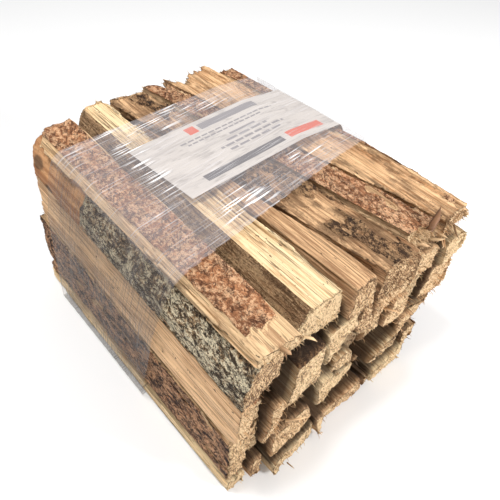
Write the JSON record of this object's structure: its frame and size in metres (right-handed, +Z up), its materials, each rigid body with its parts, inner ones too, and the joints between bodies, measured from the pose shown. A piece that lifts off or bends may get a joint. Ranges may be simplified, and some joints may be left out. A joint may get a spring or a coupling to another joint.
{
  "type": "pack of split kindling wood",
  "caption": "Pack of bark-edged split kindling sticks laid side by side and bound round the middle by clear stretch film over a blank paper label.",
  "frame": {"origin": "on the floor under the middle of the pack's box", "axes": "+Y along the sticks, away from the end that the picture shows; +Z up; +X to the right when looking along +Y"},
  "size_m": [0.319, 0.38, 0.2354],
  "materials": {
    "pale_wood": "split, pale cream sapwood with open grain",
    "tan_wood": "split, tan heartwood, rough",
    "orange_wood": "split, warm orange wood, fibrous",
    "red_bark_wood": "scaly red-brown bark over tan wood",
    "brown_bark_wood": "dark brown bark over tan wood",
    "lichen_bark_wood": "grey-green bark with pale lichen over tan wood",
    "film": "clear stretch film with fine pale streaks",
    "paper": "smooth white paper"
  },
  "bodies": {
    "root": {"top_pale_split": "pale_wood", "top_wedge_split": "tan_wood", "top_knotty_split": "tan_wood", "top_red_bark_strip": "red_bark_wood", "top_wide_split": "orange_wood", "shoulder_bark_split": "red_bark_wood", "big_square_split": "pale_wood", "inner_split_1": "tan_wood", "inner_split_2": "pale_wood", "inner_split_3": "brown_bark_wood", "inner_split_4": "tan_wood", "inner_split_5": "pale_wood", "inner_split_6": "orange_wood", "inner_split_7": "tan_wood", "inner_split_8": "brown_bark_wood", "inner_split_24": "pale_wood", "right_split_1": "orange_wood", "right_split_5": "tan_wood", "right_split_2": "pale_wood", "inner_split_9": "orange_wood", "inner_split_10": "tan_wood", "inner_split_11": "brown_bark_wood", "inner_split_12": "pale_wood", "inner_split_13": "orange_wood", "inner_split_14": "pale_wood", "inner_split_15": "tan_wood", "inner_split_16": "pale_wood", "inner_split_17": "tan_wood", "inner_split_18": "orange_wood", "right_split_3": "red_bark_wood", "base_split_1": "tan_wood", "inner_split_19": "pale_wood", "base_split_2": "pale_wood", "inner_split_20": "orange_wood", "base_split_3": "tan_wood", "inner_split_21": "brown_bark_wood", "base_split_4": "orange_wood", "inner_split_22": "pale_wood", "base_split_5": "brown_bark_wood", "inner_split_23": "tan_wood", "base_split_6": "pale_wood", "inner_split_25": "tan_wood", "right_split_4": "brown_bark_wood", "base_left_slat": "pale_wood", "left_red_bark_slab": "red_bark_wood", "left_pale_slab": "orange_wood", "left_inner_split_1": "red_bark_wood", "left_inner_split_2": "tan_wood", "left_lichen_slab": "lichen_bark_wood", "top_red_bark_split": "red_bark_wood", "stretch_film": "film", "label": "paper"}
  },
  "joints": []
}
